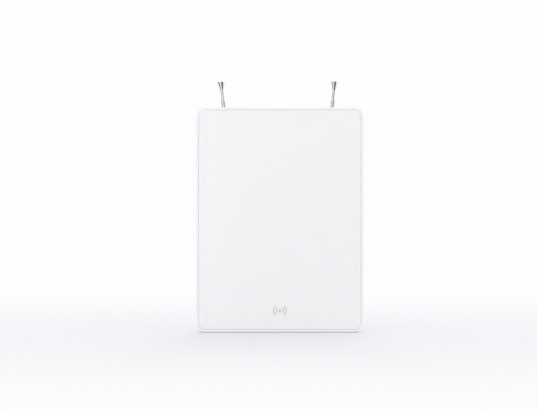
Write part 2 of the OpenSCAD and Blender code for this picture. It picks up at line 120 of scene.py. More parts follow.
def table_white():
    material, tree, surface = new_finish("table_white")
    surface.inputs["Base Color"].default_value = TABLE_WHITE
    surface.inputs["Roughness"].default_value = 0.9
    surface.inputs["Specular IOR Level"].default_value = 0
    place = tree_step(tree, "ShaderNodeTexCoord").outputs["Object"]
    radius = tree_step(tree, "ShaderNodeVectorMath", place, operation="LENGTH").outputs["Value"]
    fade = tree_step(tree, "ShaderNodeMapRange", radius, SHADOW_FADES_FROM, SHADOW_FADES_TO)
    to_camera = tree_step(tree, "ShaderNodeLightPath").outputs["Is Camera Ray"]
    seen = tree_sum(tree, "MULTIPLY", fade.outputs["Result"], to_camera)
    glow = tree_step(tree, "ShaderNodeEmission", BACKDROP_WHITE).outputs["Emission"]
    mix = tree_step(tree, "ShaderNodeMixShader", seen, surface.outputs["BSDF"], glow)
    tree.links.new(mix.outputs["Shader"], tree.nodes["Material Output"].inputs["Surface"])
    return material


table_mesh.materials.append(table_white())

# The studio is a white tent that lights the antenna evenly from all round. In mirrors it is a little
# brighter, and three dark cards round the antenna draw the bands that chrome shows in such a tent.
TENT_WHITE = (0.985, 0.99, 1, 1)
TENT_LEVEL = 0.865
TENT_IN_MIRRORS = 1.0
world = bpy.data.worlds.new("studio")
bpy.context.scene.world = world
world.use_nodes = True
studio = world.node_tree
backdrop = studio.nodes["Background"]
backdrop.inputs["Color"].default_value = BACKDROP_WHITE
backdrop.inputs["Strength"].default_value = 1
tent = tree_step(studio, "ShaderNodeBackground", TENT_WHITE, TENT_LEVEL).outputs["Background"]
mirrored = tree_step(studio, "ShaderNodeBackground", TENT_WHITE, TENT_IN_MIRRORS).outputs["Background"]
path = tree_step(studio, "ShaderNodeLightPath").outputs
lighting = tree_step(studio, "ShaderNodeMixShader", path["Is Glossy Ray"], tent, mirrored).outputs["Shader"]
seen_world = tree_step(
    studio, "ShaderNodeMixShader", path["Is Camera Ray"], lighting, backdrop.outputs["Background"])
studio.links.new(seen_world.outputs["Shader"], studio.nodes["World Output"].inputs["Surface"])

# Each card is given by its two ends, and by its brightness below and above the height where it is graded
CARD_FOOT = 0.001
CARD_HEIGHT = 0.45
GRADED_FROM = 0.1
GRADED_TO = 0.2
DARK_CARDS = {
    "front_card": ((-0.06, -0.34), (0.6, -0.34), 0.02, 0.3),
    "left_card": ((-0.45, -0.16), (-0.45, 0.36), 0.12, 0.3),
    "back_card": ((-0.35, 0.48), (-0.08, 0.48), 0.15, 0.15),
}
for card_name, (start, stop, low_level, high_level) in DARK_CARDS.items():
    card_mesh = bpy.data.meshes.new(card_name)
    card_mesh.from_pydata(
        [(*start, CARD_FOOT), (*stop, CARD_FOOT), (*stop, CARD_HEIGHT), (*start, CARD_HEIGHT)],
        [], [(0, 1, 2, 3)])
    card_black, card_tree, card_surface = new_finish(card_name)
    card_surface.inputs["Base Color"].default_value = (0, 0, 0, 1)
    card_surface.inputs["Emission Color"].default_value = (1, 1, 1, 1)
    card_place = tree_step(card_tree, "ShaderNodeTexCoord").outputs["Object"]
    card_up = tree_step(card_tree, "ShaderNodeSeparateXYZ", card_place).outputs["Z"]
    card_level = tree_step(
        card_tree, "ShaderNodeMapRange", card_up, GRADED_FROM, GRADED_TO, low_level, high_level)
    card_tree.links.new(card_level.outputs["Result"], card_surface.inputs["Emission Strength"])
    card_mesh.materials.append(card_black)
    card = in_scene(card_name, card_mesh)
    card.visible_camera = False
    card.visible_diffuse = False
    card.visible_shadow = False
    card.visible_transmission = False

# Two soft boxes: a broad one above and behind, which throws the soft shadow forward, and a low one far in
# front, which fills the face. Each has its place, its aim, its width, its power and if mirrors see it.
SOFT_BOXES = {
    "back_box": ((0.1, 1.1, 1.0), (0, 0, 0.12), 0.8, 3.4, True),
    "front_box": ((-0.05, -1.2, 0.15), (0, 0, 0.03), 0.5, 2.65, False),
}
for box_name, (spot, aim, size, power, in_mirrors) in SOFT_BOXES.items():
    lamp_data = bpy.data.lights.new(box_name, "AREA")
    lamp_data.shape = "SQUARE"
    lamp_data.size = size
    lamp_data.energy = power
    lamp = in_scene(box_name, lamp_data)
    lamp.location = spot
    lamp.rotation_euler = (Vector(aim) - Vector(spot)).to_track_quat("-Z", "Y").to_euler()
    lamp.visible_camera = False
    lamp.visible_glossy = in_mirrors
bpy.context.scene.view_settings.view_transform = "Standard"

# Rear casing: a deep tray of white gloss ABS, moulded in one piece. Its front edge is the rounded rim
# round the face, its back edge is softly rounded, and its back is flat with counterbored screw holes.
CORNER_RADIUS = 0.0085
CORNER_STEPS = 14
SHARPEST_CORNER = 0.0004
RIM_WIDTH = 0.0024
RIM_ROUND = 0.0005
RIM_INNER_ROUND = 0.0003
BACK_ROUND = 0.004
WALL = 0.002
SEAM_DEPTH = 0.0009
SEAM_LEDGE = 0.00028
COVER_THICKNESS = 0.0022


def rounded_outline(half_x, half_z, radius, inset):
    """Outline of a rounded rectangle moved in by inset, as (x, z) points."""
    centre_inset = max(radius, inset + SHARPEST_CORNER)
    outline = []
    for side, end, start in ((1, 1, 0), (-1, 1, 90), (-1, -1, 180), (1, -1, 270)):
        for step in range(CORNER_STEPS + 1):
            angle = math.radians(start + 90 * step / CORNER_STEPS)
            outline.append((
                side * (half_x - centre_inset) + (centre_inset - inset) * math.cos(angle),
                end * (half_z - centre_inset) + (centre_inset - inset) * math.sin(angle)))
    return outline


def moulded_slab(name, low, high, radius, profile):
    """Closed shell of rounded outlines between two corners: profile is (inset, depth from low.y)."""
    bm = bmesh.new()
    half_x, half_z = (high.x - low.x) / 2, (high.z - low.z) / 2
    mid = ((high.x + low.x) / 2, (high.z + low.z) / 2)
    rings = []
    for inset, depth in profile:
        rings.append([
            bm.verts.new((mid[0] + x, low.y + depth, mid[1] + z))
            for x, z in rounded_outline(half_x, half_z, radius, inset)])
    for ring, following in zip(rings, rings[1:]):
        for i in range(len(ring)):
            j = (i + 1) % len(ring)
            bm.faces.new((ring[i], ring[j], following[j], following[i]))
    bm.faces.new(rings[0])
    bm.faces.new(rings[-1])
    bmesh.ops.recalc_face_normals(bm, faces=bm.faces)
    mesh = bpy.data.meshes.new(name)
    bm.to_mesh(mesh)
    bm.free()
    return in_scene(name, mesh)


def arc(centre, radius, start, stop, steps):
    """Points of an arc in the (inset, depth) plane, angles in degrees from +inset towards +depth."""
    return [
        (centre[0] + radius * math.cos(math.radians(start + (stop - start) * i / steps)),
         centre[1] + radius * math.sin(math.radians(start + (stop - start) * i / steps)))
        for i in range(steps + 1)]


def smooth(piece, degrees=32):
    piece.data.shade_smooth()
    piece.data.set_sharp_from_angle(angle=math.radians(degrees))


def effect_group(name, inputs):
    """A shader node group with named inputs, which puts out a colour, a roughness and a normal."""
    group = bpy.data.node_groups.new(name, "ShaderNodeTree")
    for label, kind, value in inputs:
        group.interface.new_socket(label, in_out="INPUT", socket_type=kind).default_value = value
    for label, kind in (("Colour", "NodeSocketColor"), ("Roughness", "NodeSocketFloat"),
                        ("Normal", "NodeSocketVector")):
        group.interface.new_socket(label, in_out="OUTPUT", socket_type=kind)
    return group, group.nodes.new("NodeGroupInput").outputs, group.nodes.new("NodeGroupOutput").inputs


def bumped(tree, height, depth, normal=None):
    """The surface's normal after a height map of this depth has tilted it."""
    bump = tree.nodes.new("ShaderNodeBump")
    tree.links.new(height, bump.inputs["Height"])
    tree.links.new(depth, bump.inputs["Distance"])
    if normal is not None:
        tree.links.new(normal, bump.inputs["Normal"])
    return bump.outputs["Normal"]


RIPPLES_PER_METRE = 45
CLOUDS_PER_METRE = 30
CLOUDED_GLOSS = 0.12
COAT_ROUGHNESS = 0.12


def moulded_grain():
    """Shared effect: fine grain of a moulded surface, with faint cloudiness in colour and gloss, and painted
    shading that darkens the grain's valleys.
    """
    group, wanted, result = effect_group("moulded_grain", (
        ("Colour", "NodeSocketColor", (0.9, 0.9, 0.9, 1)), ("Cloudiness", "NodeSocketFloat", 0.01),
        ("Gloss Roughness", "NodeSocketFloat", 0.3), ("Grain Per Metre", "NodeSocketFloat", 1500),
        ("Grain Depth", "NodeSocketFloat", 0.00002), ("Grain Valley Shade", "NodeSocketFloat", 0.02),
        ("Ripple Depth", "NodeSocketFloat", 0.0)))
    place = tree_step(group, "ShaderNodeTexCoord").outputs["Object"]
    grain = tree_step(group, "ShaderNodeTexNoise", place, wanted["Grain Per Metre"], 3).outputs["Fac"]
    ripple = tree_step(group, "ShaderNodeTexNoise", place, RIPPLES_PER_METRE, 1).outputs["Fac"]
    cloud = tree_step(group, "ShaderNodeTexNoise", place, CLOUDS_PER_METRE, 4).outputs["Fac"]
    centred = tree_sum(group, "SUBTRACT", cloud, 0.5)
    clouded = tree_sum(group, "MULTIPLY_ADD", centred, wanted["Cloudiness"], 1)
    raised = tree_sum(group, "SUBTRACT", grain, 0.5)
    # Painted shading: the colour is made darker where the grain is low, in its valleys, on top of the random
    # cloudy tone.
    valley_shade = tree_sum(group, "MULTIPLY_ADD", raised, wanted["Grain Valley Shade"], clouded)
    tint = tree_step(group, "ShaderNodeVectorMath", wanted["Colour"], operation="SCALE")
    group.links.new(valley_shade, tint.inputs["Scale"])
    group.links.new(tint.outputs["Vector"], result["Colour"])
    rough = tree_sum(group, "MULTIPLY_ADD", centred, CLOUDED_GLOSS, wanted["Gloss Roughness"])
    group.links.new(rough, result["Roughness"])
    rippled = bumped(group, ripple, wanted["Ripple Depth"])
    group.links.new(bumped(group, grain, wanted["Grain Depth"], rippled), result["Normal"])
    return group


GRAIN = moulded_grain()


def give_effect(tree, surface, group, values):
    """Places a shared effect in a material with its own values, and leads what it gives to the surface."""
    effect = tree.nodes.new("ShaderNodeGroup")
    effect.node_tree = group
    for label, value in values.items():
        effect.inputs[label].default_value = value
    for label, target in (("Colour", "Base Color"), ("Roughness", "Roughness"), ("Normal", "Normal")):
        tree.links.new(effect.outputs[label], surface.inputs[target])
    return effect


def plastic(name, colour, roughness, grain_scale, grain_depth, cloudiness=0.012, valley_shade=0.02,
            ripple=0.0, coat=0.0):
    """Moulded plastic or rubber: plain colour, grain from the mould with painted shading in its valleys, and
    a thin gloss if coated.
    """
    material, tree, surface = new_finish(name)
    surface.inputs["Coat Weight"].default_value = coat
    surface.inputs["Coat Roughness"].default_value = COAT_ROUGHNESS
    give_effect(tree, surface, GRAIN, {
        "Colour": (*colour, 1), "Cloudiness": cloudiness, "Gloss Roughness": roughness,
        "Grain Per Metre": grain_scale, "Grain Depth": grain_depth, "Grain Valley Shade": valley_shade,
        "Ripple Depth": ripple})
    return material


def place_piece(piece, material, body, slot, *nodes):
    """Gives a finished piece its material and its body, and hides the solids that it stands for. slot is not
    used.
    """
    piece.data.materials.clear()
    piece.data.materials.append(material)
    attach(piece, body)
    if nodes:
        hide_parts(*nodes)


casing_white = plastic("casing_white", (0.9, 0.905, 0.92), 0.3, 1400, 0.000012, coat=0.25)
case_depth = case_high.y - case_low.y
tray_inset = RIM_WIDTH + SEAM_LEDGE
casing_profile = (
    arc((BACK_ROUND, case_depth - BACK_ROUND), BACK_ROUND, 90, 180, 10)
    + arc((RIM_ROUND, RIM_ROUND), RIM_ROUND, 180, 270, 8)
    + arc((RIM_WIDTH - RIM_INNER_ROUND, RIM_INNER_ROUND), RIM_INNER_ROUND, 270, 360, 4)
    + [(RIM_WIDTH, SEAM_DEPTH), (tray_inset, SEAM_DEPTH), (tray_inset, case_depth - WALL)])
casing = moulded_slab("casing", case_low, case_high, CORNER_RADIUS, casing_profile)

# The counterbores, one for each case screw that the housing doesn't hide, are cut from the tray's back
SCREW_FROM_SIDE = 0.011
SCREW_TOP_FROM_EDGE = 0.014
COUNTERBORE_RADIUS = 0.0031
COUNTERBORE_DEPTH = 0.003
case_mid_z = (case_low.z + case_high.z) / 2
case_screw_spots = [
    Vector((side * (case_high.x - SCREW_FROM_SIDE), case_high.y, z))
    for side in (-1, 1) for z in (case_high.z - SCREW_TOP_FROM_EDGE, case_mid_z)]


def settle(piece):
    """Turns a piece's modifiers into a plain mesh and takes them off."""
    bpy.context.view_layer.update()
    evaluated = piece.evaluated_get(bpy.context.evaluated_depsgraph_get())
    mesh = bpy.data.meshes.new_from_object(evaluated)
    piece.modifiers.clear()
    piece.data = mesh


def drill(piece, spots, radius, depth):
    """Cuts flat-bottomed round holes, forward from each spot on the piece's back."""
    bm = bmesh.new()
    for spot in spots:
        hole = bmesh.ops.create_cone(
            bm, cap_ends=True, segments=40, radius1=radius, radius2=radius, depth=2 * depth)
        bmesh.ops.transform(
            bm, verts=hole["verts"], matrix=Matrix.Translation(spot) @ Matrix.Rotation(math.pi / 2, 4, "X"))
    mesh = bpy.data.meshes.new("cutter")
    bm.to_mesh(mesh)
    bm.free()
    cutter = in_scene("cutter", mesh)
    cut = piece.modifiers.new("cut", "BOOLEAN")
    cut.object = cutter
    cut.solver = "EXACT"
    settle(piece)
    bpy.data.objects.remove(cutter)


drill(casing, case_screw_spots, COUNTERBORE_RADIUS, COUNTERBORE_DEPTH)
smooth(casing)
place_piece(casing, casing_white, "case", "casing_white", "rear_casing")

# Front cover: a flat plate of white gloss ABS, pressed into the rim with a hair-thin seam all round.
# The printed place near its foot holds a plain broadcast sign: a dot with two arcs on each side.
cover_low, cover_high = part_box("front_cover")
COVER_EDGE_ROUND = 0.00025
COVER_FACE_LOOP = 0.0015
SIGN_HEIGHT = 0.0214
SIGN_GREY = (0.6, 0.61, 0.62, 1)
SIGN_DOT_RADIUS = 0.0014
SIGN_ARC_RADII = (0.0034, 0.006)
SIGN_HALF_STROKE = 0.0006
SIGN_ARC_SLOPE = 0.95
SIGN_INK_DEPTH = 0.0005


def sign_mask(tree, spot):
    """1 inside the printed sign, 0 outside, from the distance to its middle and the slope."""
    place = tree_step(tree, "ShaderNodeTexCoord").outputs["Object"]
    shift = tree_step(tree, "ShaderNodeVectorMath", place, spot, operation="SUBTRACT").outputs["Vector"]
    axes = tree_step(tree, "ShaderNodeSeparateXYZ", shift).outputs
    across = tree_sum(tree, "ABSOLUTE", axes["X"])
    up = tree_sum(tree, "ABSOLUTE", axes["Z"])
    squares = [tree_sum(tree, "MULTIPLY", length, length) for length in (across, up)]
    radius = tree_sum(tree, "SQRT", tree_sum(tree, "ADD", *squares))
    dot = tree_sum(tree, "LESS_THAN", radius, SIGN_DOT_RADIUS)
    rings = [tree_sum(tree, "COMPARE", radius, middle, SIGN_HALF_STROKE) for middle in SIGN_ARC_RADII]
    to_the_side = tree_sum(tree, "GREATER_THAN", across, tree_sum(tree, "MULTIPLY", up, SIGN_ARC_SLOPE))
    arcs = tree_sum(tree, "MULTIPLY", tree_sum(tree, "MAXIMUM", *rings), to_the_side)
    front = tree_sum(tree, "LESS_THAN", axes["Y"], SIGN_INK_DEPTH)
    return tree_sum(tree, "MULTIPLY", tree_sum(tree, "MAXIMUM", dot, arcs), front)


def blended(tree, amount, under, over):
    """One colour over another by an amount from 0 to 1."""
    return tree_step(tree, "ShaderNodeMix", amount, under, over, data_type="RGBA").outputs["Result"]


def printed_cover():
    material = plastic("cover_white", (0.885, 0.888, 0.893), 0.32, 900, 0.000006, ripple=0.00002, coat=0.08)
    tree = material.node_tree
    effect = next(node for node in tree.nodes if node.type == "GROUP")
    sign = sign_mask(tree, (0, cover_low.y, SIGN_HEIGHT))
    printed = blended(tree, sign, effect.outputs["Colour"], SIGN_GREY)
    tree.links.new(printed, tree.nodes["Principled BSDF"].inputs["Base Color"])
    return material


cover_corner = CORNER_RADIUS - (cover_low.x - case_low.x)
cover_profile = (
    [(COVER_FACE_LOOP, 0)]
    + arc((COVER_EDGE_ROUND, COVER_EDGE_ROUND), COVER_EDGE_ROUND, 270, 180, 5)
    + [(0, COVER_THICKNESS)])
cover = moulded_slab("cover", cover_low, cover_high, cover_corner, cover_profile)
smooth(cover)
place_piece(cover, printed_cover(), "case", "cover_white", "front_cover")

# Case screws: six zinc-plated steel pan heads with a cross recess, driven from behind into the
# cover's posts. Four sit in counterbores, and the housing hides the lowest two.
HIDDEN_SCREW_X = 0.049
HIDDEN_SCREW_UP = 0.012
COUNTERBORE_FLOOR = case_high.y - COUNTERBORE_DEPTH
SCREW_RINGS = 16
SHANK_RINGS = 3
SCREW_TURNS = 40
MILLIMETRE = 0.001


def mesh_tree(name, inputs):
    """A Geometry Nodes tree with a mesh in and out, and named inputs given as (label, kind, value)."""
    tree = bpy.data.node_groups.new(name, "GeometryNodeTree")
    tree.interface.new_socket("Start", in_out="INPUT", socket_type="NodeSocketGeometry")
    for label, kind, value in inputs:
        socket = tree.interface.new_socket(label, in_out="INPUT", socket_type=kind)
        if value is not None:
            socket.default_value = value
    tree.interface.new_socket("Result", in_out="OUTPUT", socket_type="NodeSocketGeometry")
    return tree, tree.nodes.new("NodeGroupInput"), tree.nodes.new("NodeGroupOutput")


def turning_grid(tree, rings, turns):
    """A grid to wrap round an axis: its mesh, the ring number of each point and its angle."""
    row = tree_sum(tree, "ADD", turns, 1)
    grid = tree_step(tree, "GeometryNodeMeshGrid", 1.0, 1.0, rings, row)
    index = tree_step(tree, "GeometryNodeInputIndex").outputs["Index"]
    ring = tree_sum(tree, "FLOOR", tree_sum(tree, "DIVIDE", tree_sum(tree, "ADD", index, 0.5), row))
    turn = tree_sum(tree, "SUBTRACT", index, tree_sum(tree, "MULTIPLY", ring, row))
    angle = tree_sum(tree, "MULTIPLY", turn, tree_sum(tree, "DIVIDE", math.tau, turns))
    return grid.outputs["Mesh"], ring, angle


def wrapped(tree, grid, radius, angle, height, closing=0.000002):
    """Moves the grid's points to their radius and height round Z, and closes its seam and poles."""
    across = tree_sum(tree, "MULTIPLY", radius, tree_sum(tree, "COSINE", angle))
    back = tree_sum(tree, "MULTIPLY", radius, tree_sum(tree, "SINE", angle))
    place = tree_step(tree, "ShaderNodeCombineXYZ", across, back, height).outputs["Vector"]
    moved = tree_step(tree, "GeometryNodeSetPosition", grid, None, place).outputs["Geometry"]
    return tree_step(tree, "GeometryNodeMergeByDistance", moved, None, closing).outputs["Geometry"]


def finish_tree(tree, shape, finish, result):
    """Ends a tree: instances become real meshes, which take their finish."""
    real = tree_step(tree, "GeometryNodeRealizeInstances", shape).outputs["Geometry"]
    dressed_shape = tree_step(tree, "GeometryNodeSetMaterial", real, None, finish)
    tree.links.new(dressed_shape.outputs["Geometry"], result.inputs["Result"])


def cross_screw_tree():
    """One cross-recess screw on every point, its head towards +Y, each at a turn of its own.

    Rings 0 to 2 are the shank's end, its foot and the neck; the others go over the crowned head.
    Sizes are in millimetres until the screws are placed, as the cuts need numbers near one.
    """
    tree, given, result = mesh_tree("cross_screws", (
        ("Head Radius", "NodeSocketFloat", 2.7), ("Head Height", "NodeSocketFloat", 1.8),
        ("Squareness", "NodeSocketFloat", 3.2), ("Sink Depth", "NodeSocketFloat", 0.1),
        ("Recess Reach", "NodeSocketFloat", 3.2), ("Recess Width", "NodeSocketFloat", 0.7),
        ("Recess Depth", "NodeSocketFloat", 0.8), ("Shank Radius", "NodeSocketFloat", 1.25),
        ("Shank Length", "NodeSocketFloat", 8.0), ("Seed", "NodeSocketInt", 1),
        ("Finish", "NodeSocketMaterial", None)))
    wanted = given.outputs
    grid, ring, angle = turning_grid(tree, SCREW_RINGS, SCREW_TURNS)
    over_shank = tree_sum(tree, "SUBTRACT", ring, SHANK_RINGS)
    share = tree_sum(tree, "DIVIDE", over_shank, SCREW_RINGS - SHANK_RINGS - 1)
    lift = tree_sum(tree, "MULTIPLY", tree_sum(tree, "MAXIMUM", share, 0), math.pi / 2)
    power = tree_sum(tree, "DIVIDE", 2, wanted["Squareness"])
    spread = tree_sum(tree, "POWER", tree_sum(tree, "ABSOLUTE", tree_sum(tree, "COSINE", lift)), power)
    on_head = tree_sum(tree, "GREATER_THAN", ring, SHANK_RINGS - 0.5)
    on_shank = tree_sum(tree, "COMPARE", ring, 1.5, 0.6)
    crown = tree_sum(tree, "MULTIPLY", tree_sum(tree, "MULTIPLY", wanted["Head Radius"], spread), on_head)
    radius = tree_sum(tree, "MULTIPLY_ADD", wanted["Shank Radius"], on_shank, crown)
    rise = tree_sum(tree, "POWER", tree_sum(tree, "ABSOLUTE", tree_sum(tree, "SINE", lift)), power)
    top = tree_sum(tree, "MULTIPLY", tree_sum(tree, "MULTIPLY", rise, wanted["Head Height"]), on_head)
    under_head = tree_sum(tree, "LESS_THAN", ring, SHANK_RINGS - 0.5)
    sink = tree_sum(tree, "MULTIPLY", wanted["Sink Depth"], under_head)
    below = tree_sum(
        tree, "MULTIPLY_ADD", wanted["Shank Length"], tree_sum(tree, "LESS_THAN", ring, 1.5), sink)
    blank = wrapped(tree, grid, radius, angle, tree_sum(tree, "SUBTRACT", top, below), 0.002)
    at_top = tree_step(tree, "ShaderNodeCombineXYZ", None, None, wanted["Head Height"]).outputs["Vector"]
    for turn, share_of_depth in ((0, 2), (math.pi / 2, 1.9)):
        size = tree_step(
            tree, "ShaderNodeCombineXYZ", wanted["Recess Reach"], wanted["Recess Width"],
            tree_sum(tree, "MULTIPLY", wanted["Recess Depth"], share_of_depth)).outputs["Vector"]
        slot = tree_step(tree, "GeometryNodeMeshCube", size).outputs["Mesh"]
        placed = tree_step(tree, "GeometryNodeTransform", slot, at_top, (0, 0, turn)).outputs["Geometry"]
        cut = tree_step(
            tree, "GeometryNodeMeshBoolean", blank, placed, operation="DIFFERENCE", solver="EXACT")
        blank = cut.outputs["Mesh"]
    spin = tree_step(tree, "FunctionNodeRandomValue", 0.0, 1.5, None, wanted["Seed"], data_type="FLOAT")
    spun = [socket for socket in spin.outputs if socket.enabled][0]
    tilt = tree_step(tree, "ShaderNodeCombineXYZ", -math.pi / 2, spun, 0).outputs["Vector"]
    facing = tree_step(tree, "FunctionNodeEulerToRotation", tilt).outputs["Rotation"]
    stood = tree_step(tree, "GeometryNodeInstanceOnPoints", given.outputs["Start"], None, blank)
    tree.links.new(facing, stood.inputs["Rotation"])
    stood.inputs["Scale"].default_value = (MILLIMETRE, MILLIMETRE, MILLIMETRE)
    finish_tree(tree, stood.outputs["Instances"], wanted["Finish"], result)
    return tree


def points_mesh(name, spots):
    mesh = bpy.data.meshes.new(name)
    mesh.from_pydata([tuple(spot) for spot in spots], [], [])
    return mesh


MERGING_DISTANCE = 0.000002
SMUDGES_PER_METRE = 160
SPECKS_PER_METRE = 900


def grown(name, tree, start, values):
    """Runs a tree on a starting mesh and gives its result as a plain mesh, with no modifier left."""
    piece = in_scene(name, start)
    modifier = piece.modifiers.new(name, "NODES")
    modifier.node_group = tree
    for item in tree.interface.items_tree:
        if item.in_out == "INPUT" and item.name in values:
            modifier[item.identifier] = values[item.name]
    settle(piece)
    bm = bmesh.new()
    bm.from_mesh(piece.data)
    bmesh.ops.remove_doubles(bm, verts=bm.verts, dist=MERGING_DISTANCE)
    bmesh.ops.recalc_face_normals(bm, faces=bm.faces)
    bm.to_mesh(piece.data)
    bm.free()
    return piece


def worked_metal_effect():
    """Shared effect: drawn, turned or rolled lines on metal, with cloudy smudges and dull spots."""
    group, wanted, result = effect_group("worked_metal", (
        ("Place", "NodeSocketVector", (0, 0, 0)), ("Colour", "NodeSocketColor", (0.8, 0.8, 0.8, 1)),
        ("Dull Colour", "NodeSocketColor", (0.5, 0.5, 0.5, 1)), ("Roughness", "NodeSocketFloat", 0.2),
        ("Smudge", "NodeSocketFloat", 0.1), ("Line Scale", "NodeSocketVector", (2000, 2000, 20)),
        ("Line Depth", "NodeSocketFloat", 0.000002)))
    place = wanted["Place"]
    smudge = tree_step(group, "ShaderNodeTexNoise", place, SMUDGES_PER_METRE, 5, 0.62).outputs["Fac"]
    spots = tree_step(group, "ShaderNodeTexNoise", place, SPECKS_PER_METRE, 2, 0.5).outputs["Fac"]
    dull = tree_step(group, "ShaderNodeMapRange", smudge, 0.52, 0.75, 0, 1).outputs["Result"]
    speck = tree_step(group, "ShaderNodeMapRange", spots, 0.68, 0.8, 0, 0.6).outputs["Result"]
    worn = tree_sum(group, "MAXIMUM", tree_sum(group, "MULTIPLY", dull, 0.5), speck)
    amount = tree_sum(group, "MULTIPLY", worn, wanted["Smudge"])
    tint = blended(group, amount, wanted["Colour"], wanted["Dull Colour"])
    group.links.new(tint, result["Colour"])
    stretched = tree_step(
        group, "ShaderNodeVectorMath", place, wanted["Line Scale"], operation="MULTIPLY")
    line_map = tree_step(group, "ShaderNodeTexNoise", stretched.outputs["Vector"], 1, 3, 0.55).outputs["Fac"]
    drag = tree_sum(group, "MULTIPLY", tree_sum(group, "SUBTRACT", line_map, 0.5), 0.1)
    rough = tree_sum(group, "ADD", tree_sum(group, "MULTIPLY_ADD", amount, 0.35, wanted["Roughness"]), drag)
    group.links.new(tree_sum(group, "MAXIMUM", rough, 0.03), result["Roughness"])
    group.links.new(bumped(group, line_map, wanted["Line Depth"]), result["Normal"])
    return group


WORKED_METAL = worked_metal_effect()
LINES_LENGTHWISE = (2600, 2600, 25)
LINES_ROUND = (25, 25, 5200)
LINES_ROUND_DEPTHWISE = (25, 5200, 25)
LINES_EVEN = (420, 420, 420)


def metal(name, colour, dull, roughness, smudge, line_scale, line_depth, turned=None):
    """Bare or plated metal. turned is the matrix that stands the pattern along a leaning rod."""
    material, tree, surface = new_finish(name)
    surface.inputs["Metallic"].default_value = 1
    place = tree_step(tree, "ShaderNodeTexCoord").outputs["Object"]
    if turned is not None:
        stand = tree.nodes.new("ShaderNodeMapping")
        stand.vector_type = "TEXTURE"
        stand.inputs["Location"].default_value = turned.to_translation()
        stand.inputs["Rotation"].default_value = turned.to_euler()
        tree.links.new(place, stand.inputs["Vector"])
        place = stand.outputs["Vector"]
    effect = give_effect(tree, surface, WORKED_METAL, {
        "Colour": (*colour, 1), "Dull Colour": (*dull, 1), "Roughness": roughness,
        "Smudge": smudge, "Line Scale": line_scale, "Line Depth": line_depth})
    tree.links.new(place, effect.inputs["Place"])
    return material


CROSS_SCREWS = cross_screw_tree()
zinc_steel = metal(
    "zinc_steel", (0.62, 0.63, 0.66), (0.36, 0.36, 0.37), 0.26, 0.9, LINES_ROUND_DEPTHWISE, 0.000003)
case_screws = grown(
    "case_screws_dressed", CROSS_SCREWS,
    points_mesh("case_screw_spots", (
        [(spot.x, COUNTERBORE_FLOOR, spot.z) for spot in case_screw_spots]
        + [(side * HIDDEN_SCREW_X, COUNTERBORE_FLOOR, case_low.z + HIDDEN_SCREW_UP) for side in (-1, 1)])),
    {"Recess Reach": 3.4, "Recess Width": 0.75, "Recess Depth": 1.0, "Shank Length": 7.7, "Seed": 3,
     "Finish": zinc_steel})
smooth(case_screws, 40)
place_piece(case_screws, zinc_steel, "case", "steel", "case_screws")

# Inside the casing: a matching board on three screws, with a two-hole ferrite core, its winding and four
# ceramic capacitors, and two tinned bow-tie blades staked to the casing. They keep their solids' shapes.
BRASS_COLOURS = ((0.8, 0.62, 0.33), (0.42, 0.3, 0.15))
tinned_plate = metal(
    "tinned_plate", (0.74, 0.75, 0.76), (0.5, 0.5, 0.5), 0.3, 0.6, LINES_LENGTHWISE, 0.000002)
rolled_brass = metal("rolled_brass", *BRASS_COLOURS, 0.28, 1.0, LINES_LENGTHWISE, 0.000002)
enamelled_wire = metal(
    "enamelled_wire", (0.72, 0.33, 0.14), (0.4, 0.16, 0.07), 0.2, 0.5, LINES_EVEN, 0.000002)
board_laminate = plastic("board_laminate", (0.05, 0.22, 0.1), 0.35, 2600, 0.00001, 0.2, coat=0.4)
pressed_ferrite = plastic("pressed_ferrite", (0.045, 0.045, 0.05), 0.6, 3200, 0.00004, 0.3)
ceramic_dip = plastic("ceramic_dip", (0.62, 0.34, 0.1), 0.4, 900, 0.00003, 0.15)
for name, finish in (
        ("left_radiator", tinned_plate), ("right_radiator", tinned_plate),
        ("matching_board", board_laminate), ("board_screws", zinc_steel),
        ("ferrite_core", pressed_ferrite), ("balun_winding", enamelled_wire),
        ("board_capacitors", ceramic_dip), ("left_contact_strap", rolled_brass),
        ("right_contact_strap", rolled_brass), ("fork_nuts", rolled_brass)):
    frame["nodes"][name].data.materials.clear()
    frame["nodes"][name].data.materials.append(finish)

# Bottom pads: four grey rubber strips, punched from sheet and glued under the casing and the housing.
# Their edges are cut square, and they carry the antenna clear of the table.
SOLID_MERGING_DISTANCE = 0.0000015
FLAT_WITHIN_DEGREES = 0.5


def dressed(node, name, edge, angle=35):
    """A merged copy of a solid, with its sharp edges broken by a small round and its curves smooth."""
    mesh = frame["nodes"][node].data.copy()
    bm = bmesh.new()
    bm.from_mesh(mesh)
    bmesh.ops.remove_doubles(bm, verts=bm.verts, dist=SOLID_MERGING_DISTANCE)
    bmesh.ops.dissolve_limit(
        bm, angle_limit=math.radians(FLAT_WITHIN_DEGREES), verts=bm.verts, edges=bm.edges)
    bm.to_mesh(mesh)
    bm.free()
    piece = in_scene(name, mesh)
    if edge:
        rounding = piece.modifiers.new("edge", "BEVEL")
        rounding.width = edge
        rounding.segments = 2
        rounding.limit_method = "ANGLE"
        rounding.angle_limit = math.radians(angle)
        settle(piece)
    smooth(piece, angle)
    return piece


grey_rubber = plastic("grey_rubber", (0.5, 0.505, 0.51), 0.75, 2200, 0.00004, 0.2)
bottom_pads = dressed("bottom_pads", "bottom_pads_dressed", 0.00012)
place_piece(bottom_pads, grey_rubber, "case", "pad_rubber", "bottom_pads")

# Rear housing: one moulding of matte white ABS, screwed to the casing's back. It covers the forks and the
# socket's flange, and a recess down its middle takes the folded foot.
# Its grain carries strong painted shading: the colour is darker in the grain's valleys.
housing_white = plastic("housing_white", (0.865, 0.87, 0.885), 0.5, 4200, 0.00005, 0.03, valley_shade=0.22)
housing = dressed("rear_housing", "rear_housing_dressed", 0.0003)
place_piece(housing, housing_white, "case", "housing_white", "rear_housing")

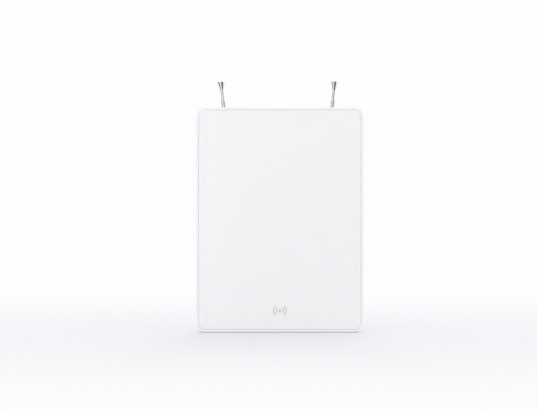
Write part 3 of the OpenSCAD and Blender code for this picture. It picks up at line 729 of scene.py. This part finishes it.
# Housing and fork screws: countersunk, flush with the housing's back. The outer two hold the housing,
# the inner two also clamp the forks and the contact straps.
HOUSING_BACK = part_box("rear_housing")[1].y
SUNK_HEAD_LIFT = 0.0001
SUNK_HEAD = {"Head Radius": 2.8, "Head Height": 0.1, "Squareness": 4.0, "Finish": zinc_steel}
SUNK_SCREWS = {
    "housing_screw": ((0.062, 0.014), {"Sink Depth": 1.3, "Shank Length": 14.7, "Seed": 8}),
    "fork_screw": (
        (0.037, 0.047), {"Sink Depth": 1.2, "Shank Radius": 1.5, "Shank Length": 14.3, "Seed": 21}),
}
for name, ((screw_x, screw_z), sizes) in SUNK_SCREWS.items():
    spots = [(side * screw_x, HOUSING_BACK - SUNK_HEAD_LIFT, screw_z) for side in (-1, 1)]
    screws = grown(
        name + "s_dressed", CROSS_SCREWS, points_mesh(name + "_spots", spots), {**SUNK_HEAD, **sizes})
    smooth(screws, 40)
    place_piece(screws, zinc_steel, "case", "steel", name + "s")

# Coaxial socket: a turned, nickel-plated brass barrel with a fine thread, through the housing's back.
# A hexagon nut on a toothed washer pulls its inner flange tight, and a waxy insulator holds the contact.
SOCKET_X = 0.055
SOCKET_Z = 0.033
THREAD_RADIUS = 0.00476
THREAD_DEPTH = 0.0004
THREAD_PITCH = 0.000794
THREAD_RUN_OUT = 0.0008
THREAD_ROWS = 132
THREAD_TURNS = 72
HOUSING_WALL = 0.002
NUT_AND_WASHER = 0.0031
BARREL_BORE = 0.0035
BARREL_TAIL_RADIUS = 0.004
FLANGE_RADIUS = 0.007
FLANGE_THICKNESS = 0.0016
SHANK_RADIUS = 0.0047
RELIEF_RADIUS = 0.0043
CORE_RADIUS = 0.00434
MOUTH_OUTER_RADIUS = 0.00405
MOUTH_INNER_RADIUS = 0.0037
TURNED_BREAK = 0.0002
MOUTH_BREAK = 0.0003
CONTACT_BORE = 0.00075
INSULATOR_RADIUS = 0.00349
INSULATOR_FACE_RADIUS = 0.0033
INSULATOR_FACE_FROM_MOUTH = 0.0008
INSULATOR_BREAK = 0.00025
FUNNEL_RADIUS = 0.0013
FUNNEL_DEPTH = 0.0005
TURNED_STEPS = 64
socket_low, socket_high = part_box("coax_socket")


def turned_tree():
    """Turns an outline of (radius, 0, height) points round Z into a closed solid."""
    tree, given, result = mesh_tree("turned_part", (
        ("Turns", "NodeSocketInt", TURNED_STEPS), ("Finish", "NodeSocketMaterial", None)))
    outline = given.outputs["Start"]
    count = tree_step(tree, "GeometryNodeAttributeDomainSize", outline).outputs["Point Count"]
    grid, ring, angle = turning_grid(tree, count, given.outputs["Turns"])
    spot = tree_step(tree, "GeometryNodeInputPosition").outputs["Position"]
    sample = tree_step(
        tree, "GeometryNodeSampleIndex", outline, spot, ring, data_type="FLOAT_VECTOR").outputs["Value"]
    split_spot = tree_step(tree, "ShaderNodeSeparateXYZ", sample)
    shape = wrapped(tree, grid, split_spot.outputs["X"], angle, split_spot.outputs["Z"])
    finish_tree(tree, shape, given.outputs["Finish"], result)
    return tree


TURNED = turned_tree()


def turned_part(name, outline, stand, finish):
    """A turned part from its closed outline of (radius, height), stood in place by a matrix."""
    start = points_mesh(name + "_outline", [(radius, 0, height) for radius, height in outline])
    piece = grown(name, TURNED, start, {"Finish": finish})
    piece.data.transform(stand)
    smooth(piece, 28)
    return piece


def thread_tree():
    """A closed sleeve with a V thread cut on its outside, fading out at both ends."""
    tree, given, result = mesh_tree("cut_thread", (
        ("Outer Radius", "NodeSocketFloat", 0.005), ("Thread Depth", "NodeSocketFloat", 0.0004),
        ("Pitch", "NodeSocketFloat", 0.0008), ("Length", "NodeSocketFloat", 0.008),
        ("Rows", "NodeSocketInt", 120), ("Finish", "NodeSocketMaterial", None)))
    wanted = given.outputs
    rings = tree_sum(tree, "ADD", wanted["Rows"], 3)
    grid, ring, angle = turning_grid(tree, rings, THREAD_TURNS)
    from_first = tree_sum(tree, "SUBTRACT", ring, 1)
    share = tree_sum(tree, "DIVIDE", from_first, tree_sum(tree, "SUBTRACT", wanted["Rows"], 1))
    along = tree_step(tree, "ShaderNodeClamp", share, 0, 1).outputs["Result"]
    closing = tree_sum(tree, "LESS_THAN", ring, tree_sum(tree, "ADD", wanted["Rows"], 1.5))
    height = tree_sum(tree, "MULTIPLY", tree_sum(tree, "MULTIPLY", along, wanted["Length"]), closing)
    turns_up = tree_sum(tree, "DIVIDE", height, wanted["Pitch"])
    behind = tree_sum(tree, "DIVIDE", angle, math.tau)
    phase = tree_sum(tree, "FRACT", tree_sum(tree, "SUBTRACT", turns_up, behind))
    ridge = tree_sum(tree, "ABSOLUTE", tree_sum(tree, "MULTIPLY_ADD", phase, 2, -1))
    crest = tree_step(tree, "ShaderNodeMapRange", ridge, 0.12, 0.88, 0, 1).outputs["Result"]
    near_start = tree_step(tree, "ShaderNodeMapRange", along, 0, 0.09, 0, 1).outputs["Result"]
    near_end = tree_step(tree, "ShaderNodeMapRange", along, 0.91, 1, 1, 0).outputs["Result"]
    fade = tree_sum(tree, "MULTIPLY", near_start, near_end)
    cut = tree_sum(tree, "SUBTRACT", 1, tree_sum(tree, "MULTIPLY", crest, fade))
    outer = tree_sum(
        tree, "SUBTRACT", wanted["Outer Radius"], tree_sum(tree, "MULTIPLY", cut, wanted["Thread Depth"]))
    root = tree_sum(tree, "MULTIPLY", wanted["Thread Depth"], 1.6)
    inner = tree_sum(tree, "SUBTRACT", wanted["Outer Radius"], root)
    on_outside = tree_sum(
        tree, "MULTIPLY", tree_sum(tree, "GREATER_THAN", ring, 0.5),
        tree_sum(tree, "LESS_THAN", ring, tree_sum(tree, "ADD", wanted["Rows"], 0.5)))
    lifted = tree_sum(tree, "MULTIPLY", tree_sum(tree, "SUBTRACT", outer, inner), on_outside)
    sleeve = wrapped(tree, grid, tree_sum(tree, "ADD", inner, lifted), angle, height)
    finish_tree(tree, sleeve, wanted["Finish"], result)
    return tree


nickel_plate = metal(
    "nickel_plate", (0.7, 0.69, 0.67), (0.45, 0.43, 0.4), 0.2, 0.7, LINES_ROUND_DEPTHWISE, 0.0000025)
socket_stand = Matrix.Translation((SOCKET_X, 0, SOCKET_Z)) @ Matrix.Rotation(-math.pi / 2, 4, "X")
flange_back = HOUSING_BACK - HOUSING_WALL
nut_back = HOUSING_BACK + NUT_AND_WASHER
thread_from = nut_back + THREAD_RUN_OUT
barrel_outline = [
    (BARREL_BORE, socket_low.y), (BARREL_TAIL_RADIUS, socket_low.y),
    (BARREL_TAIL_RADIUS, flange_back - FLANGE_THICKNESS),
    (FLANGE_RADIUS - TURNED_BREAK, flange_back - FLANGE_THICKNESS),
    (FLANGE_RADIUS, flange_back - FLANGE_THICKNESS + TURNED_BREAK), (FLANGE_RADIUS, flange_back),
    (SHANK_RADIUS, flange_back), (SHANK_RADIUS, nut_back),
    (RELIEF_RADIUS + 0.4 * TURNED_BREAK, nut_back + TURNED_BREAK),
    (RELIEF_RADIUS, nut_back + 2 * TURNED_BREAK), (RELIEF_RADIUS, thread_from + TURNED_BREAK / 2),
    (CORE_RADIUS, thread_from + 2 * TURNED_BREAK), (CORE_RADIUS, socket_high.y - 2 * MOUTH_BREAK),
    (MOUTH_OUTER_RADIUS + MOUTH_BREAK / 2, socket_high.y - MOUTH_BREAK / 2),
    (MOUTH_OUTER_RADIUS, socket_high.y), (MOUTH_INNER_RADIUS, socket_high.y),
    (BARREL_BORE, socket_high.y - MOUTH_BREAK), (BARREL_BORE, socket_low.y)]
barrel = turned_part("coax_barrel", barrel_outline, socket_stand, nickel_plate)
place_piece(barrel, nickel_plate, "case", "nickel", "coax_socket")
thread_length = socket_high.y - MOUTH_BREAK - thread_from
thread = grown(
    "coax_thread", thread_tree(), points_mesh("thread_start", [(0, 0, 0)]),
    {"Outer Radius": THREAD_RADIUS, "Thread Depth": THREAD_DEPTH, "Pitch": THREAD_PITCH,
     "Length": thread_length, "Rows": THREAD_ROWS, "Finish": nickel_plate})
thread.data.transform(socket_stand @ Matrix.Translation((0, 0, thread_from)))
smooth(thread, 50)
place_piece(thread, nickel_plate, "case", "nickel", "coax_socket")
waxy_white = plastic("waxy_white", (0.86, 0.86, 0.83), 0.35, 800, 0.000015, 0.03)
insulator_face = socket_high.y - INSULATOR_FACE_FROM_MOUTH
insulator_outline = [
    (CONTACT_BORE, socket_low.y + TURNED_BREAK), (INSULATOR_RADIUS, socket_low.y + TURNED_BREAK),
    (INSULATOR_RADIUS, insulator_face - INSULATOR_BREAK), (INSULATOR_FACE_RADIUS, insulator_face),
    (FUNNEL_RADIUS, insulator_face), (CONTACT_BORE, insulator_face - FUNNEL_DEPTH),
    (CONTACT_BORE, socket_low.y + TURNED_BREAK)]
insulator = turned_part("coax_insulator", insulator_outline, socket_stand, waxy_white)
place_piece(insulator, waxy_white, "case", "insulator", "socket_insulator")
contact = dressed("socket_contact", "socket_contact_dressed", 0)
place_piece(contact, rolled_brass, "case", "brass", "socket_contact")
washer = dressed("socket_washer", "socket_washer_dressed", 0.00005)
place_piece(washer, nickel_plate, "case", "nickel", "socket_washer")
nut = dressed("socket_nut", "socket_nut_dressed", 0.00012)
place_piece(nut, nickel_plate, "case", "nickel", "socket_nut")

# Foot: a tapered tongue of matte white ABS with a barrel at one end, turning on a steel pin between the
# recess's walls. It folds out flat to the rear and stands on two round rubber pads.
foot_pin = dressed("foot_pin", "foot_pin_dressed", 0.0001)
place_piece(foot_pin, zinc_steel, "case", "steel", "foot_pin")
foot = dressed("folding_foot", "folding_foot_dressed", 0.00025)
place_piece(foot, housing_white, "foot", "housing_white", "folding_foot")
foot_pads = dressed("foot_pads", "foot_pads_dressed", 0.0002)
place_piece(foot_pads, grey_rubber, "foot", "pad_rubber", "foot_pads")

# Rods: each of four drawn tubes of chrome-plated brass, one inside the other. A tube's top end is rolled
# in round the next tube, and a turned bush on the next tube's lower end stops it there.
TUBE_WALL = 0.00035
TUBE_RADII = {"base": 0.00315, "middle": 0.0026, "upper": 0.00205, "tip": 0.0015}
TUBE_SPANS = {"base": (0.009, 0.15), "middle": (0.03, 0.158), "upper": (0.0405, 0.17)}
BUSH_FROM = {"middle": 0.024, "upper": 0.0345, "tip": 0.045}
BUSH_LENGTH = 0.006
NECK_LENGTH = 0.0012
NECK_ROLL = 0.0004
SLIDE_GAP = 0.00003
ROD_LENGTH = 0.1883
CONE_FROM = 0.1784
CONE_RADIUS = 0.00355
CROWN_ROUND = 0.0007
FLARE_POWER = 1.35
ROUND_STEPS = 6
TUBE_BREAK = 0.0001
GROOVE_FROM = 0.0052
GROOVE_STEP = 0.0004
GROOVE_DEPTH = 0.00005
BUSH_LAND = 0.0022
BUSH_BREAK = 0.0002
BUSH_FIT = 0.00001
SPIGOT_LENGTH = 0.004
PLUG_LENGTH = 0.005
FLARE_STEPS = 20
CENTRE_MARK_RADIUS = 0.0006
CENTRE_MARK_DEPTH = 0.0002


def end_round(radius, end, size, first_step=0):
    """Points of a rounded outer edge, from the side of a turned part up to its end."""
    turns = [math.radians(90 * step / ROUND_STEPS) for step in range(first_step, ROUND_STEPS + 1)]
    return [(radius - size + size * math.cos(turn), end - size + size * math.sin(turn)) for turn in turns]


def tube_outline(radius, start, stop, neck):
    """Outline of one tube from start to stop along the rod: its top is rolled in to the neck radius."""
    bore = radius - TUBE_WALL
    groove = [
        (radius - depth, stop - GROOVE_FROM + step * GROOVE_STEP)
        for step, depth in enumerate((0, GROOVE_DEPTH, GROOVE_DEPTH, 0))]
    return (
        [(bore, start), (radius - TUBE_BREAK, start), (radius, start + TUBE_BREAK)]
        + groove
        + end_round(radius, stop, NECK_ROLL)
        + [(neck + SLIDE_GAP, stop - 2 * SLIDE_GAP), (neck + SLIDE_GAP, stop - NECK_LENGTH),
           (bore, stop - NECK_LENGTH - TUBE_BREAK), (bore, start)])


def bush_outline(radius, bore, start):
    """Outline of a turned bush: two lands with a groove between them, and a spigot in its tube."""
    land, core, end = bore - SLIDE_GAP, radius - TUBE_WALL - BUSH_FIT, start + BUSH_LENGTH
    groove = land - BUSH_BREAK
    return [
        (0, start), (groove, start), (land, start + BUSH_BREAK), (land, start + BUSH_LAND),
        (groove, start + BUSH_LAND + BUSH_BREAK), (groove, end - BUSH_LAND - BUSH_BREAK),
        (land, end - BUSH_LAND), (land, end - TUBE_BREAK), (land - TUBE_BREAK, end), (core, end),
        (core, end + SPIGOT_LENGTH), (0, end + SPIGOT_LENGTH)]


def cone_outline():
    """Outline of the turned tip: a plug in the tube, a flare like a trumpet and a rounded crown."""
    tip = TUBE_RADII["tip"]
    rise = ROD_LENGTH - CONE_FROM - CROWN_ROUND
    flare = [
        (tip + (CONE_RADIUS - tip) * (step / FLARE_STEPS) ** FLARE_POWER,
         CONE_FROM + rise * step / FLARE_STEPS)
        for step in range(FLARE_STEPS + 1)]
    plug = [
        (0, CONE_FROM - PLUG_LENGTH), (tip - TUBE_WALL, CONE_FROM - PLUG_LENGTH),
        (tip - TUBE_WALL, CONE_FROM)]
    mark = [
        (CENTRE_MARK_RADIUS, ROD_LENGTH), (CENTRE_MARK_RADIUS / 3, ROD_LENGTH - CENTRE_MARK_DEPTH),
        (0, ROD_LENGTH - CENTRE_MARK_DEPTH)]
    return plug + flare + end_round(CONE_RADIUS, ROD_LENGTH, CROWN_ROUND, 1) + mark


CHROME_COLOURS = ((0.9, 0.905, 0.915), (0.6, 0.6, 0.61))
cast_zinc = metal("cast_zinc", (0.6, 0.605, 0.62), (0.42, 0.42, 0.43), 0.36, 0.8, LINES_EVEN, 0.00001)
for side in ("left", "right"):
    along = Vector(joints[side + "_middle_slide"]["axis"])
    stand = (
        Matrix.Translation(joints[side + "_rod_swing"]["pos_m"])
        @ Vector((0, 0, 1)).rotation_difference(along).to_matrix().to_4x4())
    chrome = metal(
        side + "_chrome", *CHROME_COLOURS, 0.07, 0.35, LINES_LENGTHWISE, 0.0000006, stand)
    turned_chrome = metal(
        side + "_turned_chrome", *CHROME_COLOURS, 0.06, 0.3, LINES_ROUND, 0.0000005, stand)
    turned_brass = metal(
        side + "_turned_brass", *BRASS_COLOURS, 0.25, 0.9, LINES_ROUND, 0.000002, stand)
    for section, following in (("base", "middle"), ("middle", "upper"), ("upper", "tip")):
        start, stop = TUBE_SPANS[section]
        tube = turned_part(
            f"{side}_{section}_tube_dressed",
            tube_outline(TUBE_RADII[section], start, stop, TUBE_RADII[following]), stand, chrome)
        place_piece(tube, chrome, f"{side}_{section}", "rod_chrome", f"{side}_{section}_tube")
        bore = TUBE_RADII[section] - TUBE_WALL
        bush = turned_part(
            f"{side}_{following}_bush_dressed",
            bush_outline(TUBE_RADII[following], bore, BUSH_FROM[following]), stand, turned_brass)
        place_piece(bush, turned_brass, f"{side}_{following}", "brass", f"{side}_{following}_bush")
    tip_from = BUSH_FROM["tip"] + BUSH_LENGTH
    tip_radius = TUBE_RADII["tip"]
    tip_outline = [
        (tip_radius - TUBE_WALL, tip_from), (tip_radius, tip_from), (tip_radius, CONE_FROM),
        (tip_radius - TUBE_WALL, CONE_FROM), (tip_radius - TUBE_WALL, tip_from)]
    tip_tube = turned_part(side + "_tip_tube_dressed", tip_outline, stand, chrome)
    place_piece(tip_tube, chrome, side + "_tip", "rod_chrome", side + "_tip_tube")
    cone = turned_part(side + "_tip_cone_dressed", cone_outline(), stand, turned_chrome)
    place_piece(cone, turned_chrome, side + "_tip", "rod_chrome", side + "_tip_cone")

    # Its pivot: a die-cast zinc fork screwed to the casing, and a turned rod foot whose eye is clamped
    # between two brass washers by a slotted screw, so that friction holds the rod where it is put.
    fork = dressed(side + "_fork", side + "_fork_dressed", 0.00025)
    place_piece(fork, cast_zinc, "case", "nickel", side + "_fork")
    rod_foot = dressed(side + "_rod_foot", side + "_rod_foot_dressed", 0.00015)
    place_piece(rod_foot, turned_chrome, side + "_base", "rod_chrome", side + "_rod_foot")
    pivot_screw = dressed(side + "_pivot_screw", side + "_pivot_screw_dressed", 0.0001)
    place_piece(pivot_screw, zinc_steel, "case", "steel", side + "_pivot_screw")
    washers = dressed(side + "_washers", side + "_washers_dressed", 0.00004)
    place_piece(washers, rolled_brass, "case", "brass", side + "_washers")
